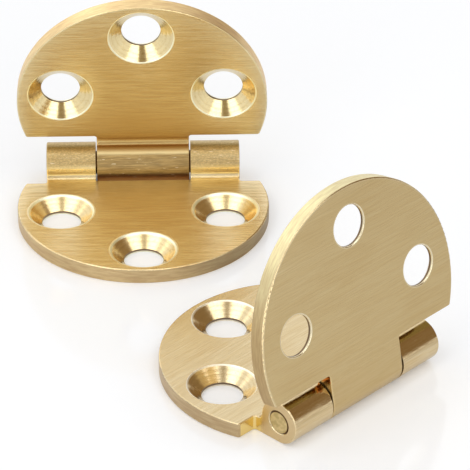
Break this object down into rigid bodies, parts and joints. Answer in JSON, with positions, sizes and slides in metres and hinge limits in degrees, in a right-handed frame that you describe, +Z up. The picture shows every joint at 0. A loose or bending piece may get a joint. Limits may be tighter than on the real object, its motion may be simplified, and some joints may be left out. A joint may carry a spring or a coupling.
{
  "type": "butler tray hinge pair",
  "caption": "Solid brass butler tray hinges with round leaves cut straight at the pin, interlocking knuckles and countersunk screw holes, each half folded.",
  "frame": {"origin": "centre of the left hinge's base leaf, on its back face", "axes": "+X along the left hinge's pin, +Y from its base leaf to its pin, +Z up out of the countersunk face"},
  "size_m": [0.0623, 0.0781, 0.0333],
  "materials": {
    "satin_brass": "satin, brushed along the pin",
    "pin_brass": "cut ends, unpolished"
  },
  "bodies": {
    "base_leaves": {"left_base_leaf": "satin_brass", "left_pin": "pin_brass", "right_base_leaf": "satin_brass", "right_pin": "pin_brass"},
    "left_raised": {"left_raised_leaf": "satin_brass"},
    "right_raised": {"right_raised_leaf": "satin_brass"}
  },
  "joints": [
    {"name": "left_fold", "type": "hinge", "parent": "base_leaves", "child": "left_raised", "pos_m": [0, 0.011, 0.0032], "axis": [1, 0, 0], "range_deg": [-102.5, 77.5]},
    {"name": "right_fold", "type": "hinge", "parent": "base_leaves", "child": "right_raised", "pos_m": [0.02875, -0.0496, 0.0032], "axis": [-0.712, -0.7022, 0], "range_deg": [-100.1, 79.9]}
  ]
}
